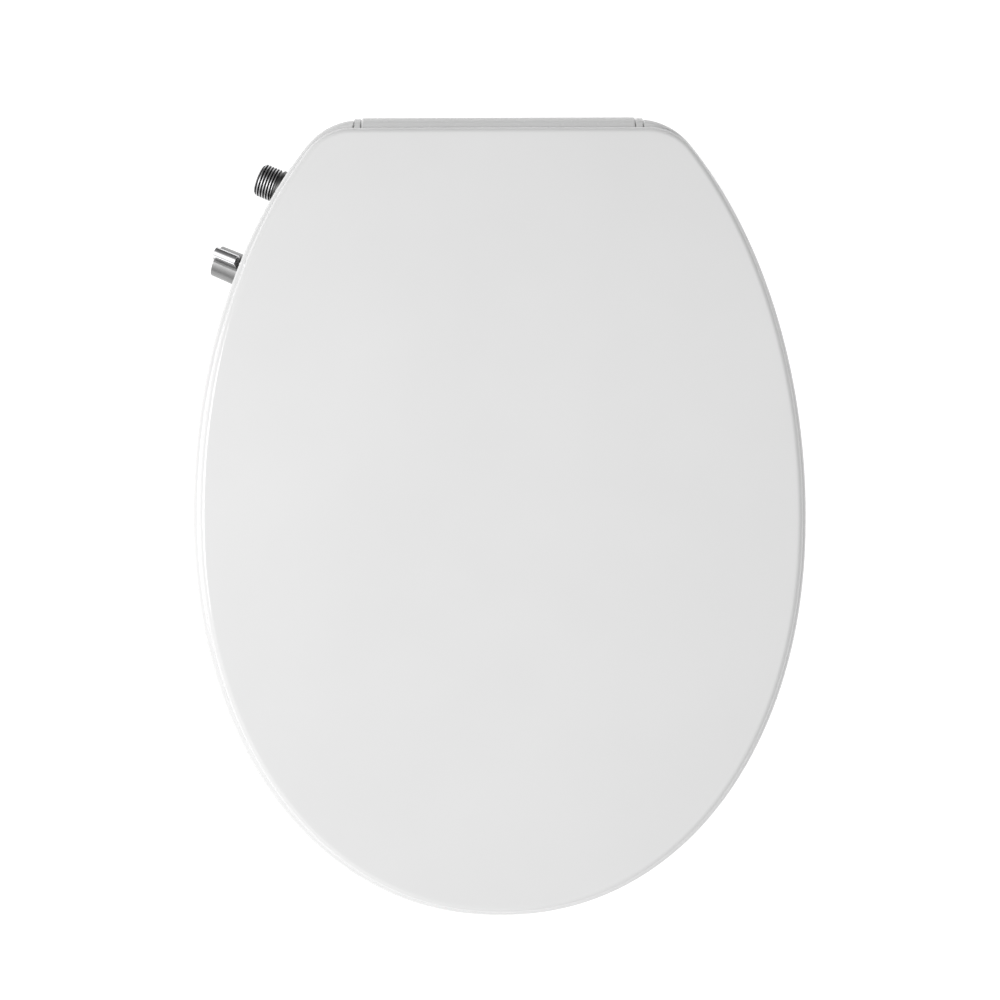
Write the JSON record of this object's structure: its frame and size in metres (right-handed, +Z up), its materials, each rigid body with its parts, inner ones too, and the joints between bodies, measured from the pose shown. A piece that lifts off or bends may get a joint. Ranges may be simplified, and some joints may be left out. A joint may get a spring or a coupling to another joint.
{
  "type": "bidet seat",
  "caption": "Slim non-electric bidet toilet seat with soft-close lid and ring, side water inlet, lever knob and two retracting nozzles.",
  "frame": {"origin": "midway between the two bowl bolts, on the plane of the bowl's rim", "axes": "+Y to the rear (the hinge side), +Z up, +X to the right seen from above with the hinge at the top; lid and seat closed"},
  "size_m": [0.3742, 0.4881, 0.1215],
  "materials": {
    "seat_white": "glossy white moulded plastic",
    "base_white": "semi-gloss white moulded plastic",
    "inner_plastic": "plain grey-white moulded plastic",
    "chrome": "satin chrome",
    "inlet_metal": "turned dark metal",
    "steel": "plain stainless steel",
    "brass": "machined brass",
    "nozzle_steel": "polished stainless steel",
    "rubber": "grey rubber",
    "tube": "translucent white polymer tube"
  },
  "bodies": {
    "base": {"base_housing": "base_white", "base_top_cover": "base_white", "seat_damper": "inner_plastic", "lid_damper": "inner_plastic", "inlet_connector": "inlet_metal", "inlet_filter": "steel", "inlet_seal": "rubber", "inlet_lock_nut": "inlet_metal", "valve_body": "brass", "valve_disc": "inner_plastic", "knob_escutcheon": "rubber", "supply_tube": "tube", "wash_tube_lower": "tube", "wash_tube_upper": "tube", "nozzle_block": "inner_plastic", "nozzle_shroud": "base_white", "guard_pin": "steel", "mounting_plate": "steel", "bowl_bolts": "steel", "cone_washers": "inner_plastic", "wing_nuts": "inner_plastic", "release_bracket": "inner_plastic", "base_screws": "steel", "base_pads": "rubber", "rear_nozzle_spring": "steel", "front_nozzle_spring": "steel", "release_spring": "steel"},
    "seat": {"seat_ring": "seat_white", "seat_underside": "seat_white", "seat_bumpers": "rubber", "seat_damper_shaft": "steel", "seat_ear_bush": "inner_plastic"},
    "lid": {"lid_shell": "seat_white", "lid_bumpers": "rubber", "lid_damper_shaft": "steel", "lid_knuckle_bush": "inner_plastic"},
    "knob": {"valve_spindle": "brass", "control_knob": "chrome", "knob_screw": "steel"},
    "rear_nozzle_slider": {"rear_nozzle": "nozzle_steel", "rear_nozzle_tip": "nozzle_steel"},
    "front_nozzle_slider": {"front_nozzle": "nozzle_steel", "front_nozzle_tip": "nozzle_steel"},
    "guard": {"nozzle_guard": "base_white"},
    "button": {"release_button": "base_white"}
  },
  "joints": [
    {"name": "seat_hinge", "type": "hinge", "parent": "base", "child": "seat", "pos_m": [0, 0.0355, 0.0395], "axis": [-1, 0, 0], "range_deg": [0, 105]},
    {"name": "lid_hinge", "type": "hinge", "parent": "seat", "child": "lid", "pos_m": [0, 0.0355, 0.0395], "axis": [1, 0, 0], "range_deg": [-105, 0]},
    {"name": "knob_turn", "type": "hinge", "parent": "base", "child": "knob", "pos_m": [-0.16514, -0.04354, 0.015], "axis": [-0.9205, 0.3907, 0], "range_deg": [-90, 90]},
    {"name": "rear_nozzle_slide", "type": "slide", "parent": "base", "child": "rear_nozzle_slider", "axis": [0, -0.9063, -0.4226], "range_m": [0, 0.034], "stiffness_N_per_m": 120, "springref_m": -0.01, "deforming": ["rear_nozzle_spring"]},
    {"name": "front_nozzle_slide", "type": "slide", "parent": "base", "child": "front_nozzle_slider", "axis": [0, -0.9063, -0.4226], "range_m": [0, 0.034], "stiffness_N_per_m": 120, "springref_m": -0.01, "deforming": ["front_nozzle_spring"]},
    {"name": "guard_hinge", "type": "hinge", "parent": "base", "child": "guard", "pos_m": [0, -0.0902, 0.011], "axis": [-1, 0, 0], "range_deg": [0, 80]},
    {"name": "release_press", "type": "slide", "parent": "base", "child": "button", "axis": [-0.9205, -0.3907, 0], "range_m": [0, 0.003], "stiffness_N_per_m": 800, "springref_m": -0.001, "deforming": ["release_spring"]}
  ]
}
